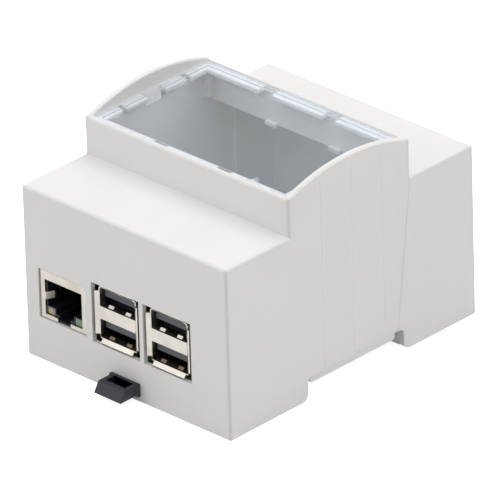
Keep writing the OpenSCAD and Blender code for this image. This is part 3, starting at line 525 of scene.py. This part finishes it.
def buildRepeatTree():
    tree, given = startTree("repeatInRows", {
        "Shape": "Geometry", "Columns": "Int", "Rows": "Int", "Column Step": "Vector", "Row Step": "Vector",
        "First Place": "Vector", "Finish": "Material"})
    columns = addNode(tree, "GeometryNodeMeshLine", {
        "Count": given["Columns"], "Offset": given["Column Step"]})
    rows = addNode(tree, "GeometryNodeMeshLine", {
        "Count": given["Rows"], "Offset": given["Row Step"], "Start Location": given["First Place"]})
    oneRow = addNode(tree, "GeometryNodeInstanceOnPoints", {
        "Points": columns.outputs["Mesh"], "Instance": given["Shape"]})
    allRows = addNode(tree, "GeometryNodeInstanceOnPoints", {
        "Points": rows.outputs["Mesh"], "Instance": oneRow.outputs["Instances"]})
    return endTree(tree, allRows.outputs["Instances"], given["Finish"])


def buildScatterTree():
    # small blocks strewn over flat patches, some turned by a quarter
    tree, given = startTree("strewParts", {
        "Patches": "Geometry", "Density": "Float", "Gap": "Float", "Seed": "Int", "Size": "Vector",
        "Finish": "Material"})
    points = addNode(tree, "GeometryNodeDistributePointsOnFaces", {
        "Mesh": given["Patches"], "Distance Min": given["Gap"], "Density Max": given["Density"],
        "Seed": given["Seed"]}, distribute_method="POISSON")
    block = addNode(tree, "GeometryNodeMeshCube", {"Size": given["Size"]})
    # a whole-number Random Value has its limits at 4 and 5 and gives its number at 2
    limits = {4: 0, 5: 1, "Seed": given["Seed"]}
    quarters = addNode(tree, "FunctionNodeRandomValue", limits, data_type="INT")
    angle = mathStep(tree, "MULTIPLY", quarters.outputs[2], pi / 2)
    turn = addNode(tree, "ShaderNodeCombineXYZ", {"Z": angle}).outputs["Vector"]
    placed = addNode(tree, "GeometryNodeInstanceOnPoints", {
        "Points": points.outputs["Points"], "Instance": block.outputs["Mesh"], "Rotation": turn})
    return endTree(tree, placed.outputs["Instances"], given["Finish"])


def runTree(name, mesh, tree, values, standsFor=None):
    piece = addObject(name, mesh)
    modifier = piece.modifiers.new("nodes", "NODES")
    modifier.node_group = tree
    sockets = {item.name: item.identifier for item in tree.interface.items_tree
               if item.item_type == "SOCKET" and item.in_out == "INPUT"}
    for key, value in values.items():
        modifier[sockets[key]] = value
    bakeModifiers(piece)
    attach(piece, "housing")
    if standsFor:
        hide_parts(standsFor)
    return piece


repeatTree = buildRepeatTree()
scatterTree = buildScatterTree()

# hook: height of the front end; knee and tail: distances from the front and below the roof
contactWires = {"count": 8, "pitch": 0.00102, "radius": 0.00018, "sides": 8, "smoothBelow": 50,
                "hook": 0.0004, "knee": (0.0012, 0.0009), "tail": (0.0060, 0.00192)}


def makeContactWires(sizes):
    # bent spring wires under the roof of the network socket
    low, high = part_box("ethernet_contacts")
    radius, sides = sizes["radius"], sizes["sides"]
    front, roof = low[1], high[2] - radius
    path = [(front + radius, roof), (front + radius, roof - sizes["hook"])]
    path += [(front + along, roof - below) for along, below in (sizes["knee"], sizes["tail"])]
    path.append((high[1] - radius, low[2] + radius * 2))
    across = Vector((1, 0, 0))

    def build(shape):
        rings = []
        for k, (y, z) in enumerate(path):
            before = path[max(k - 1, 0)]
            after = path[min(k + 1, len(path) - 1)]
            along = Vector((0, after[0] - before[0], after[1] - before[1])).normalized()
            out = along.cross(across)
            centre = Vector((0, y, z))
            rings.append([shape.verts.new(centre + across * radius * cos(a) + out * radius * sin(a))
                          for a in anglesRound(sides)])
        joinRings(shape, rings)
        bmesh.ops.recalc_face_normals(shape, faces=shape.faces)

    firstX = (low[0] + high[0]) / 2 - (sizes["count"] - 1) / 2 * sizes["pitch"]
    piece = runTree("contactWires", meshFrom("contactWire", build), repeatTree,
                    {"Columns": sizes["count"], "Rows": 1, "Column Step": (sizes["pitch"], 0, 0),
                     "Row Step": (0, 0, 0), "First Place": (firstX, 0, 0), "Finish": finish["contactGold"]},
                    "ethernet_contacts")
    smoothShade(piece.data, sizes["smoothBelow"])


# joint: outline of the solder below the board, as radius and height
pins = {"pitch": 0.00254, "count": 20, "thickness": 0.00064, "tip": 0.0007, "point": 0.45,
        "joint": [(0.0003, -0.0011), (0.00042, -0.0009), (0.0006, -0.0003), (0.0009, 0.0)],
        "jointSides": 10, "smoothBelow": 40}


def makePins(sizes):
    # square header pins with pointed tips, and their solder joints below the board
    low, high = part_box("header_pins")
    half, pitch = sizes["thickness"] / 2, sizes["pitch"]
    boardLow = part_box("circuit_board")[0][2]

    def buildPin(shape):
        outline = [(half, low[2]), (half, high[2] - sizes["tip"]), (half * sizes["point"], high[2])]
        joinRings(shape, [[shape.verts.new((x * r, y * r, z)) for x, y in squareCorners]
                          for r, z in outline])

    def buildJoint(shape):
        joinRings(shape, [[shape.verts.new((r * cos(a), r * sin(a), boardLow + z))
                           for a in anglesRound(sizes["jointSides"])] for r, z in sizes["joint"]])

    firstX = (low[0] + high[0]) / 2 - pitch / 2
    firstY = (low[1] + high[1]) / 2 - (sizes["count"] - 1) / 2 * pitch
    grid = {"Columns": 2, "Rows": sizes["count"], "Column Step": (pitch, 0, 0), "Row Step": (0, pitch, 0),
            "First Place": (firstX, firstY, 0)}
    runTree("headerPinRows", meshFrom("headerPin", buildPin), repeatTree,
            {**grid, "Finish": finish["contactGold"]}, "header_pins")
    joints = runTree("headerSolder", meshFrom("solderJoint", buildJoint), repeatTree,
                     {**grid, "Finish": finish["solderTin"]})
    smoothShade(joints.data, sizes["smoothBelow"])


makeContactWires(contactWires)
makePins(pins)
print("repeated pieces made")

# bare patches of the board, in millimetres from its rear left corner: along X, along Y, width, depth
smallParts = {"density": 60000.0, "gap": 0.0021, "seed": 7, "body": (0.0011, 0.0006, 0.0009),
              "ends": (0.0015, 0.00056, 0.0008),
              "patches": [(16.0, 13.0, 6.0, 5.5), (38.5, 17.0, 7.5, 7.0), (38.5, 38.0, 8.0, 12.0),
                          (17.0, 50.5, 7.5, 6.5), (36.5, 60.0, 9.0, 2.2), (27.5, 62.3, 4.0, 2.0),
                          (24.0, 17.5, 10.0, 2.2), (12.5, 55.2, 3.0, 3.0)]}


def makeSmallParts(sizes):
    low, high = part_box("circuit_board")

    def strew(name, patchName, size, paint):
        def build(shape):
            z = high[2] + size[2] / 2
            for patch in sizes["patches"]:
                x, y, width, depth = (length / 1000 for length in patch)
                x0, y1 = low[0] + x, high[1] - y
                corners = [(x0, y1 - depth), (x0 + width, y1 - depth), (x0 + width, y1), (x0, y1)]
                shape.faces.new([shape.verts.new((*corner, z)) for corner in corners])

        runTree(name, meshFrom(patchName, build), scatterTree,
                {"Density": sizes["density"], "Gap": sizes["gap"], "Seed": sizes["seed"], "Size": size,
                 "Finish": finish[paint]})

    strew("smallPartBodies", "bodyPatch", sizes["body"], "ceramicBody")
    strew("smallPartEnds", "endPatch", sizes["ends"], "solderTin")


makeSmallParts(smallParts)
print("board populated")

# widths of the broken edges; the lid keeps its sharp ones and is a hair smaller than its solid
edges = {"segments": 2, "angle": 30, "flatWeight": 100, "weld": 0.000002, "levelAngle": 0.6, "lidAngle": 28,
         "lidClearance": 0.00003,
         "widths": {"din_latch": 0.00022, "clear_lid": 0.0, "usb_shell_left": 0.00007,
                    "usb_shell_right": 0.00007, "ethernet_shield": 0.00007, "processor": 0.00005,
                    "network_chip": 0.00005, "camera_connector": 0.00012, "display_connector": 0.00012,
                    "board_screws": 0.00008, "cover": 0.00008}}


def shrinkShape(shape, distance):
    shape.normal_update()
    moves = [(v, v.normal * v.calc_shell_factor() * distance) for v in shape.verts]
    for v, move in moves:
        v.co -= move


def softenEdges(piece, width, sizes):
    piece.data.shade_smooth()
    bevel = piece.modifiers.new("softEdges", "BEVEL")
    bevel.width = width
    bevel.segments = sizes["segments"]
    bevel.limit_method = "ANGLE"
    bevel.angle_limit = radians(sizes["angle"])
    # large faces shade flat, small rounded ones blend between them
    flat = piece.modifiers.new("flatFaces", "WEIGHTED_NORMAL")
    flat.weight = sizes["flatWeight"]
    flat.keep_sharp = True
    bakeModifiers(piece)


def dressedCopy(node, width, sizes):
    # the same solid with its loose triangles joined and its edges slightly broken
    def build(shape):
        shape.from_mesh(cad[node].data)
        bmesh.ops.remove_doubles(shape, verts=shape.verts, dist=sizes["weld"])
        bmesh.ops.dissolve_limit(shape, angle_limit=radians(sizes["levelAngle"]), verts=shape.verts,
                                 edges=shape.edges)
        if not width:
            shrinkShape(shape, sizes["lidClearance"])

    mesh = meshFrom(node + "Dressed", build)
    if "custom_normal" in mesh.attributes:
        mesh.attributes.remove(mesh.attributes["custom_normal"])  # they belong to the old triangles
    mesh.materials.clear()
    mesh.materials.append(finish[nodeFinish[node]])
    piece = addObject(node + "Dressed", mesh)
    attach(piece, cad[node]["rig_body"])
    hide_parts(node)
    if width:
        softenEdges(piece, width, sizes)
    else:
        smoothShade(mesh, sizes["lidAngle"])


for nodeName, edgeWidth in edges["widths"].items():
    dressedCopy(nodeName, edgeWidth, edges)
print("edges softened on", len(edges["widths"]), "pieces")

studio = {"floorSize": 3.0, "floorGlow": 0.85, "floorColour": (0.66, 0.66, 0.66), "floorRoughness": 0.9,
          "floorSpecular": 0.1, "worldLevel": 0.50, "lampTarget": (0, 0, 0.02),
          "lamps": {"topSoftbox": {"place": (0.0, 0.15, 1.3), "size": 1.5, "power": 10.75},
                    "frontSoftbox": {"place": (-0.85, -1.3, 0.75), "size": 1.2, "power": 4.5},
                    "sideSoftbox": {"place": (1.35, 0.85, 0.75), "size": 1.2, "power": 4.3}}}


def whiteForCamera(tree):
    # 1 for rays that show the background: straight, mirrored or through the lid
    path = tree.nodes.new("ShaderNodeLightPath").outputs
    shown = mathStep(tree, "MAXIMUM", path["Is Camera Ray"], path["Is Glossy Ray"])
    return mathStep(tree, "MAXIMUM", shown, path["Is Transmission Ray"])


def makeFloor(setup):
    half = setup["floorSize"] / 2
    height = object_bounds()[0][2]
    mesh = meshFrom("studioFloor", lambda shape: shape.faces.new(
        [shape.verts.new((x * half, y * half, height)) for x, y in squareCorners]))
    floor = addObject("studioFloor", mesh)
    material, tree, shader = startMaterial("floorPaper")
    glow = mathStep(tree, "MULTIPLY", whiteForCamera(tree), setup["floorGlow"])
    fillInputs(tree, shader, {"Base Color": (*setup["floorColour"], 1),
                              "Roughness": setup["floorRoughness"],
                              "Specular IOR Level": setup["floorSpecular"],
                              "Emission Color": (*white, 1), "Emission Strength": glow})
    # the floor is clear when looked at from below
    below = tree.nodes.new("ShaderNodeNewGeometry").outputs["Backfacing"]
    clear = tree.nodes.new("ShaderNodeBsdfTransparent").outputs["BSDF"]
    surface = mixShaders(tree, below, shader.outputs["BSDF"], clear)
    tree.links.new(surface, tree.nodes["Material Output"].inputs["Surface"])
    mesh.materials.append(material)
    floor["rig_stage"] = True


def makeWorld(setup):
    world = bpy.data.worlds.new("studioWorld")
    scene.world = world
    world.use_nodes = True
    tree = world.node_tree
    light = tree.nodes["Background"]
    fillInputs(tree, light, {"Strength": setup["worldLevel"], "Color": (*white, 1)})
    shown = addNode(tree, "ShaderNodeBackground", {"Color": (*white, 1), "Strength": 1.0})
    shares = whiteForCamera(tree), light.outputs["Background"], shown.outputs["Background"]
    tree.links.new(mixShaders(tree, *shares), tree.nodes["World Output"].inputs["Surface"])


def addLamps(setup):
    for name, lamp in setup["lamps"].items():
        data = bpy.data.lights.new(name, "AREA")
        data.shape = "SQUARE"
        data.size = lamp["size"]
        data.energy = lamp["power"]
        softbox = addObject(name, data)
        softbox.location = lamp["place"]
        direction = Vector(setup["lampTarget"]) - Vector(lamp["place"])
        softbox.rotation_euler = direction.to_track_quat("-Z", "Y").to_euler()


makeFloor(studio)
makeWorld(studio)
addLamps(studio)
scene.view_settings.view_transform = "Standard"
print("studio ready")
